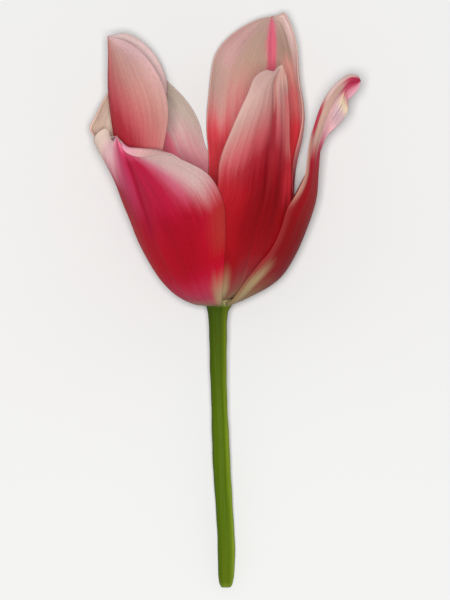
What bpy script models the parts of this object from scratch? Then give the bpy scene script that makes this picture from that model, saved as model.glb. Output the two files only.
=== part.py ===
"""A cut tulip in full bloom, lying on a flat surface on its back.

The bloom has three outer and three inner petals round a pistil and six stamens, on a short cut stem.
The flower is laid out in its own frame, in millimetres: x runs across to the viewer's right, h runs up the stem
from the foot of the bloom, and f runs towards the viewer. Angles go round the stem, 0 towards the viewer and
90 to the right. The whole flower is then laid down, with +Z up, +Y along the bloom and the origin under its middle.
"""

import math

import bmesh
import bpy
import numpy as np

MM = 0.001

# Driving dimensions, in millimetres and degrees.
PETAL_THICKNESS = 0.7
CUP_HEIGHT = 29.4  # where the cup of the bloom ends and the petals part
CUP_RADIUS = 27.0  # of the outer petals at that height
CUP_POWER = 0.335  # how round the cup's bottom is
RIGHT_LIFT = 1.9  # the cup's bottom is this much higher on its right
LIFT_WIDTH = 21.0
WHORL_GAP = 1.5  # the inner petals lie this far inside the outer ones
WHORL_LIFT = 1.6  # and this far above them at the foot
OUTER_FOOT_RADIUS = 4.0
INNER_FOOT_RADIUS = 3.7
FOOT_HALF_SPREAD = 50.0  # of a petal's foot round the stem
FOOT_TURN_END = 0.55  # share of the cup's height up to which a turned margin differs
WAVE = 0.45  # height of the waves along a petal's margins
WAVES = 4.5  # how many of them from foot to tip
LIP_RADIUS = 0.9  # of the fold where a margin is turned out
LIP_TURN = math.radians(160)
LIP_START = 0.5  # share of the columns between the rib and the fold

# How the flower lies: the stem's cut end and the bellies of the two back petals touch the surface.
LEAN = 12.8  # the bloom's mouth is raised by this
FOOT_RISE = 18.65  # height of the bloom's foot above the surface
MIDDLE_ACROSS = 1.76  # from the bloom's foot to the middle of the lying flower
MIDDLE_ALONG = 3.29
PRESS = 0.5  # how softly a petal flattens where it touches

# The meshes.
COLUMNS = 12
ROWS = 20
TUBE_ROUNDNESS = 4

# The stem from its cut end up to the receptacle's top: its centre (x, h, f) and its radius.
STEM_POINTS = [
    ((1.8, -79.0, 0.4), 1.2), ((1.82, -78.5, 0.38), 1.55), ((1.85, -77.0, 0.35), 1.95), ((1.9, -74.5, 0.3), 2.22),
    ((1.95, -71.0, 0.25), 2.32), ((1.55, -60.0, 0.0), 2.32), ((0.85, -49.0, -0.3), 2.38), ((0.3, -38.0, -0.4), 2.38),
    ((-0.05, -27.0, -0.3), 2.2), ((-0.28, -20.0, -0.2), 2.28), ((-0.42, -10.0, 0.0), 2.4), ((-0.48, -4.0, 0.0), 2.6),
    ((-0.4, -1.5, 0.0), 2.9), ((-0.2, -0.4, 0.0), 3.35), ((-0.05, 0.4, 0.0), 3.6), ((0.0, 1.0, 0.0), 3.55),
    ((0.0, 1.9, 0.0), 3.3), ((0.0, 2.6, 0.0), 3.2), ((0.0, 3.0, 0.0), 2.9),
]

# The ovary: height and radius, from end to end. It has three rounded corners.
OVARY_PROFILE = [
    (3.35, 0.0), (3.35, 1.3), (4.2, 1.8), (6.5, 2.5), (10.0, 3.0), (14.0, 3.1), (18.0, 2.8), (21.0, 2.2),
    (22.0, 1.7), (22.0, 0.0),
]
OVARY_CORNERS = 0.12
OVARY_TURN = 32.0

# The stigma: height and radius, from its underside round its rim to its hollow top. It has three lobes.
STIGMA_PROFILE = [
    (22.35, 0.0), (22.35, 1.6), (23.0, 2.6), (24.2, 3.6), (25.3, 3.5), (25.6, 2.8), (25.1, 1.6), (24.8, 0.0),
]
STIGMA_LOBES = 0.32

# A stamen: distance from the axis, height and radius, from below.
FILAMENT_POINTS = [(2.45, 3.5, 0.5), (3.6, 5.5, 0.62), (4.6, 9.0, 0.6), (5.3, 13.0, 0.45), (5.6, 16.2, 0.3)]
ANTHER_PROFILE = [
    (5.6, 16.5, 0.0), (5.65, 16.8, 0.8), (5.8, 18.0, 1.25), (6.1, 21.5, 1.4), (6.5, 25.5, 1.3), (6.95, 29.0, 0.9),
    (7.1, 30.0, 0.0),
]
ANTHER_CHEEKS = 0.28
STAMENS = 6


class Petal:
    """A petal, as three rails that run from its foot to its tip: its rib and its two margins.

    left and right are as seen from outside the flower. Below the parting of the petals the rails follow the
    cup, at the angles in spread. Above it they pass through the listed points (x, h, f), and end at the tip.
    keel says how sharply the petal is folded along its rib. A lip is a margin that is folded outwards: its
    side, the shares of the way to the tip where it starts, is full, narrows and ends, and its length. waves
    scales the waves of the left and the right margin. foot is how far each margin's foot is turned.
    """

    def __init__(
        self, name, outer, heading, spread, tip, rib, left, right, keel=0.15, lips=(), waves=(1, 1), foot=(0, 0)
    ):
        self.name = name
        self.heading = heading
        self.keel = keel
        self.lips = lips
        self.waves = waves
        turns = (foot[0], 0, foot[1])
        self.rails = [
            cup_rail(outer, heading, angle, turn) + points + [tip]
            for angle, turn, points in zip((spread[0], heading, spread[1]), turns, (left, rib, right))
        ]


def cup_point(outer, share, angle):
    """A point of the cup (x, h, f) at this share of its height, on the outer or the inner petals."""
    lift = 0 if outer else WHORL_LIFT
    radius = CUP_RADIUS if outer else CUP_RADIUS - WHORL_GAP
    out = radius * share**CUP_POWER
    turn = math.radians(angle)
    return (out * math.sin(turn), lift + (CUP_HEIGHT - lift) * share, out * math.cos(turn))


def cup_rail(outer, heading, angle, turn):
    """The points of a rail in the cup: its foot by the receptacle, and more of them up towards the parting.
    The rail's foot is turned round the stem by this much more.
    """
    foot_radius = OUTER_FOOT_RADIUS if outer else INNER_FOOT_RADIUS
    cup_radius = CUP_RADIUS if outer else CUP_RADIUS - WHORL_GAP
    foot_angle = heading + max(-FOOT_HALF_SPREAD, min(FOOT_HALF_SPREAD, angle - heading))
    foot_share = (foot_radius / cup_radius) ** (1 / CUP_POWER)
    shares = [0.02, 0.08, 0.2, 0.45, 0.72]
    turned = [angle + turn * max(0, 1 - share / FOOT_TURN_END) for share in shares]
    rail = [cup_point(outer, share, angle) for share, angle in zip(shares, turned)]
    return [cup_point(outer, foot_share, foot_angle + turn)] + rail


def along_rail(points, shares):
    """Points of the smooth curve through these points, at the given shares of its length."""
    points = np.array(points, float)
    steps = np.linalg.norm(np.diff(points, axis=0), axis=1)
    knots = np.concatenate([[0.0], np.cumsum(steps)]) / steps.sum()
    slopes = np.gradient(points, knots, axis=0)
    place = np.clip(np.searchsorted(knots, shares, side="right") - 1, 0, len(knots) - 2)
    span = (knots[place + 1] - knots[place])[:, None]
    t = ((shares - knots[place])[:, None]) / span
    return (
        (1 + 2 * t) * (1 - t) ** 2 * points[place]
        + t * (1 - t) ** 2 * span * slopes[place]
        + t**2 * (3 - 2 * t) * points[place + 1]
        + t**2 * (t - 1) * span * slopes[place + 1]
    )


def polar(points, heading):
    """Distance from the axis, angle round it and height of points (x, h, f), with angles near the heading."""
    angles = np.degrees(np.arctan2(points[:, 0], points[:, 2]))
    angles = heading + (angles - heading + 180) % 360 - 180
    return np.stack([np.hypot(points[:, 0], points[:, 2]), angles, points[:, 1]], axis=1)


def between_rails(rails, across, keel):
    """Points (x, h, f) of a petal, one row for each point of its rails. across runs from -1, left, to 1."""
    left, rib, right = (rail[:, None] for rail in rails)
    margin = np.where(across[..., None] < 0, left, right)
    out = np.abs(across)
    bend = keel * out + (1 - keel) * out**2
    reach = rib + (margin - rib) * np.stack([bend, out, bend], axis=-1)
    turn = np.radians(reach[..., 1])
    return np.stack([reach[..., 0] * np.sin(turn), reach[..., 2], reach[..., 0] * np.cos(turn)], axis=-1)


def petal_grid(petal, columns, rows):
    """The petal's middle layer as a grid of points (x, h, f), from foot to tip and left to right."""
    shares = np.linspace(0, 1, rows + 1)
    rails = [polar(along_rail(rail, shares), petal.heading) for rail in petal.rails]
    across = np.repeat(np.linspace(-1, 1, columns + 1)[None], rows + 1, axis=0)
    flat = between_rails(rails, across, petal.keel)
    waves = outward(flat) * ripple(petal, across, shares[:, None])[..., None]
    lip = np.zeros_like(flat)
    for side, start, full, narrow, end, length in petal.lips:
        across, lip = turn_out(flat, across, side, lip_share(shares, start, full, narrow, end), length)
    grid = between_rails(rails, across, petal.keel) + waves + lip
    grid[..., 1] += cup_lift(grid)
    return grid


def cup_lift(points):
    """How much higher the bottom of the cup lies on its right side."""
    x = np.clip(points[..., 0], 0, LIFT_WIDTH)
    return RIGHT_LIFT * (1 - np.cos(2 * math.pi * x / LIFT_WIDTH)) / 2 * smooth_step(20, 8, points[..., 1])


def smooth_step(low, high, value):
    """0 below low, 1 above high, and a smooth passage between them."""
    t = np.clip((value - low) / (high - low), 0, 1)
    return t * t * (3 - 2 * t)


def unit(vectors):
    """The vectors, each scaled to a length of 1."""
    return vectors / np.maximum(np.linalg.norm(vectors, axis=-1, keepdims=True), 1e-9)


def outward(grid):
    """The direction square to the petal at each point of its grid, away from the flower's middle."""
    return unit(np.cross(np.gradient(grid, axis=1), np.gradient(grid, axis=0)))


def ripple(petal, across, along):
    """How far the waves push each point of the grid outwards."""
    phase = math.radians(petal.heading * 3) + np.where(across < 0, 1.0, 2.3)
    ends = smooth_step(0.3, 0.55, along) * smooth_step(1.0, 0.85, along)
    edge = smooth_step(0.45, 1.0, np.abs(across)) * ends
    height = WAVE * np.where(across < 0, petal.waves[0], petal.waves[1])
    return height * edge * np.sin(2 * math.pi * WAVES * along + phase)


def lip_share(along, start, full, narrow, end):
    """How much of a lip's length is there along the petal."""
    return smooth_step(start, full, along) * smooth_step(end, narrow, along)


def turn_out(grid, across, side, share, length):
    """Folds a lip of this length outwards at a margin. side is -1 or 1, and share says how much of the lip
    each row has. It returns where across the petal each point then lies, and how far the lip takes it from there.
    """
    edge = 0 if side < 0 else -1
    middle = grid.shape[1] // 2
    width = np.maximum(np.linalg.norm(grid[:, edge] - grid[:, middle], axis=1), 1e-6)[:, None]
    forward = unit(grid[:, edge] - grid[:, edge + 1 if side < 0 else edge - 1])[:, None]
    aside = outward(grid)[:, edge][:, None]
    out = np.clip(across * side, 0, 1)
    fold = width * (LIP_START + (1 - LIP_START) * share[:, None])
    rest = (width + length * share[:, None] - fold) / (1 - LIP_START)
    reach = np.where(out < LIP_START, fold * out / LIP_START, fold + rest * (out - LIP_START))
    beyond = np.maximum(reach - width, 0)
    curl = np.minimum(beyond / LIP_RADIUS, LIP_TURN)
    straight = np.maximum(beyond - LIP_RADIUS * LIP_TURN, 0)
    ahead = LIP_RADIUS * np.sin(curl) + straight * math.cos(LIP_TURN)
    off = LIP_RADIUS * (1 - np.cos(curl)) + straight * math.sin(LIP_TURN)
    moved = np.where(across * side > 0, side * np.minimum(reach / width, 1), across)
    return moved, forward * ahead[..., None] + aside * off[..., None]


def turn_down(points):
    """Points (x, h, f) of the flower as it lies, in metres."""
    points = np.asarray(points, float)
    lean = math.radians(LEAN)
    h, f = points[..., 1], points[..., 2]
    x = points[..., 0] - MIDDLE_ACROSS
    y = h * math.cos(lean) - f * math.sin(lean) - MIDDLE_ALONG
    z = h * math.sin(lean) + f * math.cos(lean) + FOOT_RISE
    return np.stack([x, y, z], axis=-1) * MM


def lay_petal(points):
    """Points (x, h, f) of a petal's middle layer as it lies, pressed flat where it meets the surface."""
    points = turn_down(points)
    floor, soft = PETAL_THICKNESS / 2 * MM, PRESS * MM
    over = np.clip(points[..., 2] - floor + soft, 0, 2 * soft)
    pressed = floor + over**2 / (4 * soft)
    points[..., 2] = np.where(points[..., 2] > floor + soft, points[..., 2], pressed)
    return points


PETALS = [
    Petal(
        "petal_front_left", True, -53, (-104, 4), tip=(-28.8, 47.2, 14.4),
        rib=[(-21.9, 29.7, 16.4), (-24.3, 37.0, 18.0), (-26.8, 42.5, 17.3)],
        left=[(-28.3, 33.9, -4.0), (-32.6, 41.0, -2.5), (-34.6, 46.5, 0.5), (-32.2, 49.4, 6.0), (-30.4, 47.0, 11.0)],
        right=[
            (0.9, 29.5, 27.0), (-3.1, 36.2, 28.0), (-8.1, 39.2, 28.3), (-16.0, 42.5, 27.0),
            (-22.0, 43.2, 24.0), (-25.4, 43.8, 20.6), (-27.2, 45.4, 17.6),
        ],
        lips=[(1, 0.68, 0.83, 0.84, 0.985, 4.4)],
    ),
    Petal(
        "petal_front", False, 27, (-14, 57), tip=(17.4, 67.0, 14.6),
        rib=[(12.7, 30.6, 22.6), (14.3, 43.6, 22.3), (15.4, 56.0, 19.0), (15.7, 63.0, 16.6)],
        left=[
            (-0.6, 33.0, 25.5), (-0.1, 39.2, 25.8), (3.4, 48.9, 25.3), (7.8, 58.7, 22.5), (10.0, 63.7, 20.2),
            (13.5, 65.5, 17.8), (15.0, 65.1, 16.8), (16.2, 66.4, 15.6),
        ],
        right=[(20.0, 34.0, 15.0), (19.6, 45.0, 13.5), (19.2, 56.0, 12.5), (18.7, 63.5, 12.9)],
        keel=0.5, waves=(0.5, 0.2),
    ),
    Petal(
        "petal_right", True, 88, (47, 134), tip=(39.5, 62.8, 0.8),
        rib=[
            (26.8, 29.4, 1.0), (27.5, 38.4, 2.0), (28.0, 45.0, 3.5), (29.6, 50.7, 5.5), (31.0, 54.6, 6.5),
            (32.9, 58.5, 6.3), (35.6, 61.8, 4.3),
        ],
        left=[
            (19.0, 26.3, 17.9), (21.8, 31.6, 16.3), (24.0, 36.8, 14.0), (24.8, 41.5, 12.5), (25.6, 45.6, 11.4),
            (26.7, 49.6, 10.4), (27.8, 53.2, 9.8), (29.2, 56.6, 9.3), (31.3, 60.0, 8.4), (34.2, 63.0, 6.5),
            (37.0, 64.6, 4.0), (38.8, 64.2, 2.2),
        ],
        right=[
            (21.0, 31.0, -16.0), (26.0, 39.0, -9.0), (28.6, 45.0, -3.5), (30.6, 47.8, -0.5), (33.5, 50.5, 2.0),
            (35.8, 54.4, 3.2), (35.8, 57.2, 2.8), (37.6, 59.0, 1.7), (39.0, 60.9, 1.0),
        ],
        waves=(0.3, 1), foot=(-20, 0),
    ),
    Petal(
        "petal_back_right", False, 146, (103, 190), tip=(14.7, 81.2, -19.7),
        rib=[(14.0, 36.0, -23.9), (14.6, 46.0, -29.0), (14.7, 60.0, -29.5), (14.7, 75.0, -24.0)],
        left=[
            (20.2, 33.6, -6.0), (22.5, 47.0, -9.5), (22.8, 61.0, -12.5), (20.9, 74.0, -14.7), (19.3, 80.4, -16.5),
            (18.2, 82.3, -17.6), (16.5, 81.6, -18.7),
        ],
        right=[
            (-3.2, 34.0, -23.1), (-3.3, 50.0, -25.7), (-2.6, 65.0, -25.8), (-1.0, 70.4, -25.1), (1.9, 74.6, -24.1),
            (6.1, 78.2, -22.6), (10.6, 80.3, -21.1),
        ],
    ),
    Petal(
        "petal_left", False, -94, (-138, -52), tip=(-31.3, 75.4, -6.0),
        rib=[(-27.2, 34.0, -2.0), (-29.4, 46.2, -2.5), (-31.2, 60.0, -3.2), (-31.2, 71.0, -4.6)],
        left=[
            (-17.0, 30.0, -18.5), (-15.5, 50.0, -21.5), (-15.2, 64.0, -19.3), (-19.4, 72.0, -16.5),
            (-25.9, 76.2, -11.5),
        ],
        right=[
            (-18.8, 32.0, 15.0), (-16.4, 40.9, 14.0), (-14.3, 54.2, 10.5), (-15.7, 61.3, 8.0), (-19.2, 67.7, 5.0),
            (-23.9, 72.6, 0.5), (-27.7, 74.5, -3.5),
        ],
    ),
    Petal(
        "petal_back_left", True, 199, (153, 246), tip=(-23.3, 70.6, -25.0),
        rib=[(-10.5, 32.0, -26.0), (-15.5, 44.0, -29.0), (-20.5, 58.0, -28.5)],
        left=[
            (5.5, 32.0, -27.0), (-3.6, 44.3, -28.2), (-5.6, 50.6, -28.0), (-9.6, 57.5, -28.0), (-16.5, 65.0, -27.0),
        ],
        right=[
            (-29.3, 36.0, -7.5), (-33.2, 43.5, -5.0), (-34.9, 46.8, -5.0), (-36.3, 49.0, -5.2), (-34.4, 52.8, -7.0),
            (-31.2, 60.6, -13.0), (-26.8, 67.8, -20.5),
        ],
    ),
]


def clear_scene():
    """Removes what the startup file holds."""
    for obj in list(bpy.data.objects):
        bpy.data.objects.remove(obj)


def plain_material(name, colour, roughness):
    """A material of one colour (red, green, blue)."""
    material = bpy.data.materials.new(name)
    material.use_nodes = True
    shader = material.node_tree.nodes["Principled BSDF"]
    shader.inputs["Base Color"].default_value = (*colour, 1)
    shader.inputs["Roughness"].default_value = roughness
    return material


def add_object(name, data, material, collection):
    """An object of this mesh or curve, in the collection."""
    data.materials.append(material)
    obj = bpy.data.objects.new(name, data)
    collection.objects.link(obj)
    return obj


def moved_mesh(name, bm, points):
    """A smooth-shaded mesh of triangles: the bmesh with its points moved to these places, in their order."""
    for vertex, point in zip(bm.verts, points):
        vertex.co = point
    bmesh.ops.triangulate(bm, faces=bm.faces, quad_method="FIXED")
    bmesh.ops.remove_doubles(bm, verts=bm.verts, dist=1e-6)
    mesh = bpy.data.meshes.new(name)
    bm.to_mesh(mesh)
    bm.free()
    mesh.shade_smooth()
    return mesh


def make_petal(petal, material, collection):
    """A petal: its middle layer as a sheet, thickened to both sides."""
    bm = bmesh.new()
    bmesh.ops.create_grid(bm, x_segments=COLUMNS, y_segments=ROWS)
    bm.verts.ensure_lookup_table()
    grid = lay_petal(petal_grid(petal, COLUMNS, ROWS))
    mesh = moved_mesh(petal.name, bm, grid.reshape(-1, 3))
    obj = add_object(petal.name, mesh, material, collection)
    solidify = obj.modifiers.new("thickness", "SOLIDIFY")
    solidify.thickness = PETAL_THICKNESS * MM
    solidify.offset = 0
    return obj


def make_tube(name, points, material, collection):
    """A round tube through points ((x, h, f), radius)."""
    curve = bpy.data.curves.new(name, "CURVE")
    curve.dimensions = "3D"
    curve.bevel_depth = MM
    curve.bevel_resolution = TUBE_ROUNDNESS
    curve.use_fill_caps = True
    spline = curve.splines.new("POLY")
    spline.points.add(len(points) - 1)
    for knot, (centre, radius) in zip(spline.points, points):
        knot.co = (*turn_down(centre), 1)
        knot.radius = radius
    return add_object(name, curve, material, collection)


def make_lobed(name, sides, profile, lobes, depth, turn, material, collection):
    """A sphere drawn out to a profile of (centre (x, h, f), radius) and to a number of lobes round it."""
    bm = bmesh.new()
    bmesh.ops.create_uvsphere(bm, u_segments=sides, v_segments=len(profile) - 1, radius=1)
    points = []
    for vertex in bm.verts:
        share = 1 - math.acos(max(-1, min(1, vertex.co.z))) / math.pi
        (x, h, f), radius = profile[round(share * (len(profile) - 1))]
        angle = math.atan2(vertex.co.x, -vertex.co.y)
        reach = radius * (1 + depth * math.cos(lobes * (angle - math.radians(turn))))
        points.append((x + reach * math.sin(angle), h, f + reach * math.cos(angle)))
    return add_object(name, moved_mesh(name, bm, turn_down(points)), material, collection)


def make_pistil(green, cream, collection):
    """The ovary, and the stigma on it."""
    ovary = [((0, h, 0), radius) for h, radius in OVARY_PROFILE]
    stigma = [((0, h, 0), radius) for h, radius in STIGMA_PROFILE]
    make_lobed("ovary", 18, ovary, 3, OVARY_CORNERS, OVARY_TURN, green, collection)
    make_lobed("stigma", 24, stigma, 3, STIGMA_LOBES, OVARY_TURN, cream, collection)


def make_stamen(number, cream, yellow, collection):
    """A filament and its anther, at their place in the ring of stamens."""
    angle = OVARY_TURN + number * 360 / STAMENS
    across, towards = math.sin(math.radians(angle)), math.cos(math.radians(angle))
    filament = [((out * across, h, out * towards), radius) for out, h, radius in FILAMENT_POINTS]
    anther = [((out * across, h, out * towards), radius) for out, h, radius in ANTHER_PROFILE]
    make_tube(f"filament_{number + 1}", filament, cream, collection)
    make_lobed(f"anther_{number + 1}", 12, anther, 2, ANTHER_CHEEKS, angle + 90, yellow, collection)


def main():
    clear_scene()
    flower = bpy.data.collections.new("tulip")
    bpy.context.scene.collection.children.link(flower)
    red = plain_material("petal", (0.55, 0.02, 0.05), 0.45)
    green = plain_material("stem", (0.1, 0.2, 0.02), 0.5)
    cream = plain_material("stigma", (0.8, 0.75, 0.5), 0.5)
    yellow = plain_material("anther", (0.7, 0.45, 0.05), 0.7)
    for petal in PETALS:
        make_petal(petal, red, flower)
    make_tube("stem", STEM_POINTS, green, flower)
    make_pistil(green, cream, flower)
    for number in range(STAMENS):
        make_stamen(number, cream, yellow, flower)


main()
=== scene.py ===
"""The finish of a cut tulip that lies on its back on a pale floor.

The flower is laid out in its own frame, in millimetres: x runs across to the viewer's right, h runs up
the stem from the foot of the bloom, and f runs towards the viewer. Angles go round the stem, 0 towards
the viewer and 90 to the right. The whole flower is then laid down, with +Z up, +Y along the bloom and
the origin under its middle.
"""

import math

import bmesh
import bpy
import numpy as np
from mathutils import Matrix, Vector

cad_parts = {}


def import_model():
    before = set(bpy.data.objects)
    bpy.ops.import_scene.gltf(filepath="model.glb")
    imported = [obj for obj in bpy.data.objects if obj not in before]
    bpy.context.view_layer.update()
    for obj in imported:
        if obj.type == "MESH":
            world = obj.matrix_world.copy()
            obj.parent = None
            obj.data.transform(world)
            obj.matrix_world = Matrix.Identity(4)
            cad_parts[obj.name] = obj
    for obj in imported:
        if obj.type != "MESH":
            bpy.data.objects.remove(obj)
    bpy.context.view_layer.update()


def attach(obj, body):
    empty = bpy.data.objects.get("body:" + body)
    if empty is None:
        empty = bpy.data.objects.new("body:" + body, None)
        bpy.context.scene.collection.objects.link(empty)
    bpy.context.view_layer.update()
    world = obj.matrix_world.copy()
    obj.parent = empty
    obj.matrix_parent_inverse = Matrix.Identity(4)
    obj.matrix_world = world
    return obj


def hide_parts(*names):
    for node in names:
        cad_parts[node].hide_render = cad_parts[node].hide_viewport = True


MM = 0.001
TINY = 1e-9  # keeps a length above nought

# The bloom's shape, in millimetres and degrees, the same as in the part.
CUP_HEIGHT = 29.4  # where the cup of the bloom ends and the petals part
CUP_RADIUS = 27.0  # of the outer petals at that height
CUP_POWER = 0.335  # how round the cup's bottom is
CUP_SHARES = (0.02, 0.08, 0.2, 0.45, 0.72)  # of the cup's height, where a rail has its points
RIGHT_LIFT = 1.9  # the cup's bottom is this much higher on its right
LIFT_WIDTH = 21.0
LIFT_FULL = 8.0  # the lift is full up to this height
LIFT_END = 20.0  # and ends at this one
WHORL_GAP = 1.5  # the inner petals lie this far inside the outer ones
WHORL_LIFT = 1.6  # and this far above them at the foot
OUTER_FOOT_RADIUS = 4.0
INNER_FOOT_RADIUS = 3.7
FOOT_HALF_SPREAD = 50.0  # of a petal's foot round the stem
FOOT_TURN_END = 0.55  # share of the cup's height up to which a turned margin differs
LIP_RADIUS = 0.9  # of the fold where a margin is turned out
LIP_TURN = math.radians(160)
LIP_START = 0.5  # share of the columns between the rib and the fold
LEAN = 12.8  # the bloom's mouth is raised by this
FOOT_RISE = 18.65  # height of the bloom's foot above the surface
MIDDLE_ACROSS = 1.76  # from the bloom's foot to the middle of the lying flower
MIDDLE_ALONG = 3.29
PRESS = 0.5  # how softly a petal flattens where it touches

# How finely the petals are made.
COLUMNS = 84
ROWS = 120
WELD = 1e-7  # points nearer than this, in metres, are made one

# A petal's thickness. Each pair says where a passage starts and ends, as a share of the way.
FOOT_THICKNESS = 0.8
BODY_THICKNESS = 0.5
EDGE_THICKNESS = 0.24
FOOT_PASSAGE = (0.02, 0.3)  # along the petal, from the thick foot to the body
MARGIN_PASSAGE = (0.55, 1.0)  # across it, from the body to the margin
TIP_PASSAGE = (0.85, 1.0)  # along it, from the body to the tip
MARGIN_START = (0.1, 0.3)  # along it, where the margins get thin

# A petal's fine form. A span says where along the petal a form starts, is full, fades and ends.
WAVE = 0.45  # height of the waves along its margins
WAVES = 4.5  # how many of them from foot to tip
WAVE_PHASES = (1.0, 2.3)  # of the left and the right margin
WAVE_REACH = (0.45, 1.0)  # where across the petal the waves start and are full
WAVE_SPAN = (0.3, 0.55, 0.85, 1.0)
GROOVE_DEPTH = 0.2  # of the furrow outside along the rib
GROOVE_WIDTH = 0.055
GROOVE_SPAN = (0.06, 0.2, 0.9, 1.0)
HUG = 0.75  # how far the outer petals' margins lean in on the inner petals, low in the cup
HUG_REACH = (0.3, 0.95)
HUG_SPAN = (0.03, 0.12, 0.3, 0.5)
FLUTE_DEPTH = 0.05  # of the broad furrows along the petal
FLUTES = 17.0  # how closely they lie, in radians from the rib to a margin
FLUTE_SWAY = 1.3  # how far they sway, in radians
FLUTE_SWAYS = 5.0
FINE_FLUTES = 31.0
FINE_FLUTE_SHARE = 0.6  # their depth as a share of the others'
FLUTE_SEED = 0.37
FLUTE_SPAN = (0.12, 0.35, 0.92, 1.0)

# A petal's skin. A pattern is how often it repeats from rib to margin and from foot to tip, and its seed.
FINE = (38.0, 5.0, 0.0)
BROAD = (11.0, 2.2, 5.0)
CLOUD = (3.0, 4.0, 9.0)
CELLS = (90.0, 70.0, 0.0)
FINE_STREAK = 0.05  # how far the fine pattern moves the colours along the petal
BROAD_STREAK = 0.09
MIDDLE_STREAK = 0.07
CLOUD_SHIFT = 0.16  # how far the clouds move the dabs across it
PULL_POWER = 1.4  # how a pull grows towards the margin
PLAIN = 0.54  # brightness without the patterns
FINE_SHADE = 0.26  # what each pattern adds to it
CELL_SHADE = 0.36
BROAD_SHADE = 0.14
CLOUD_SHADE = 0.16
CELL_RELIEF = 0.35  # height of the cells as a share of the fine pattern's
REACH = 0.75  # colours are listed up to 1 / REACH of the length, as pulls reach beyond the tip
LOW = (-9, -8)  # how a window begins that is full from the start
HIGH = (8, 9)  # and how one ends that doesn't fade
SKIN_DEPTH = 0.00012  # of the skin's relief, in metres
SKIN_ROUGHNESS = 0.55
SKIN_SHINE = 0.07
GLOW = 0.22  # share of the light that passes through a petal
PETAL_SEED = 10.0  # from one petal's patterns to the next one's
INSIDE_SEED = 3.0

# The stem from its cut end up to the receptacle's top: its centre (x, h, f) and its radius.
STEM_POINTS = [
    ((1.8, -79.0, 0.4), 1.2), ((1.82, -78.5, 0.38), 1.55), ((1.85, -77.0, 0.35), 1.95),
    ((1.9, -74.5, 0.3), 2.22), ((1.95, -71.0, 0.25), 2.32), ((1.55, -60.0, 0.0), 2.32),
    ((0.85, -49.0, -0.3), 2.38), ((0.3, -38.0, -0.4), 2.38), ((-0.05, -27.0, -0.3), 2.2),
    ((-0.28, -20.0, -0.2), 2.28), ((-0.42, -10.0, 0.0), 2.4), ((-0.48, -4.0, 0.0), 2.6),
    ((-0.4, -1.5, 0.0), 2.9), ((-0.2, -0.4, 0.0), 3.35), ((-0.05, 0.4, 0.0), 3.6), ((0.0, 1.0, 0.0), 3.55),
    ((0.0, 1.9, 0.0), 3.3), ((0.0, 2.6, 0.0), 3.2), ((0.0, 3.0, 0.0), 2.9),
]
STEM_MESH = (220, 64)  # rings and sides, as for the pieces below
RIDGES = 11  # along the stem, which sway a little
RIDGE_HEIGHT = 0.025  # as a share of the radius, as all heights of the turned pieces
RIDGE_SWAY = 2.0
RIDGE_SWAYS = 9.0
FINE_RIDGES = 23
FINE_RIDGE_HEIGHT = 0.015
FINE_RIDGE_TWIST = 14.0
SWELLINGS = ((0.012, 61.0, 0), (0.01, 37.0, 1))  # height, radians along the stem, and times round it

# The stem's skin.
STREAK_GRAIN = (8.0, 3.0, 2.2)  # a grain is how it is stretched along the piece, its detail and its scale
SPECK_GRAIN = (160.0, 2.0, 2.0)
STEM_SHIFT = 0.02  # how far the streaks move the colours along the stem
PAINTED_HIGHLIGHT_SIDE = (0.8, 2.3)  # from its middle to its right, where a painted highlight makes it paler
STEM_PLAIN = 0.82
STREAK_SHADE = 0.2
SPECK_SHADE = 0.16
SPECK_RELIEF = 0.4
STEM_ROUGHNESS = 0.6
STEM_SHINE = 0.06

# The ovary: height and radius, from end to end. It has three rounded corners, with a seam between them.
OVARY_PROFILE = [
    (3.35, 0.0), (3.35, 1.3), (4.2, 1.8), (6.5, 2.5), (10.0, 3.0), (14.0, 3.1), (18.0, 2.8), (21.0, 2.2),
    (22.0, 1.7), (22.0, 0.0),
]
OVARY_MESH = (70, 72)
OVARY_CORNERS = 0.12
OVARY_TURN = 32.0
LOBES = 3  # of the stigma, and as many corners of the ovary
SEAM_DEPTH = 0.05
SEAM_WIDTH = 0.16

# The stigma: height and radius, from its underside round its rim to its hollow top. It has three lobes.
STIGMA_PROFILE = [
    (22.35, 0.0), (22.35, 1.6), (23.0, 2.6), (24.2, 3.6), (25.3, 3.5), (25.6, 2.8), (25.1, 1.6),
    (24.8, 0.0),
]
STIGMA_MESH = (60, 120)
STIGMA_LOBES = 0.32
RIM_PLACE = 0.62  # share of the profile where its ruffled rim lies
RIM_WIDTH = 0.25
RUFFLES = 14
RUFFLE_REACH = 0.1
RUFFLE_SWAY = 3.0
RIM_WAVES = 9
RIM_WAVE = 0.22  # how far the rim goes up and down, in millimetres
RIM_DROOP = 0.3  # and how far its lobes hang

# A stamen: distance from the axis, height and radius, from below.
FILAMENT_POINTS = [(2.45, 3.5, 0.5), (3.6, 5.5, 0.62), (4.6, 9.0, 0.6), (5.3, 13.0, 0.45), (5.6, 16.2, 0.3)]
FILAMENT_MESH = (40, 24)
FILAMENT_RIDGES = 5
FILAMENT_RIDGE = 0.04
ANTHER_PROFILE = [
    (5.6, 16.5, 0.0), (5.65, 16.8, 0.8), (5.8, 18.0, 1.25), (6.1, 21.5, 1.4), (6.5, 25.5, 1.3),
    (6.95, 29.0, 0.9), (7.1, 30.0, 0.0),
]
ANTHER_MESH = (90, 64)
ANTHER_CHEEKS = 0.28
FURROW_DEPTH = 0.13
FURROW_WIDTH = 0.22
POLLEN_HEIGHT = 0.035
POLLEN_WAVES = ((19, 133.0), (13, -171.0))  # two sets: times round the anther and radians along it
STAMENS = 6

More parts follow.
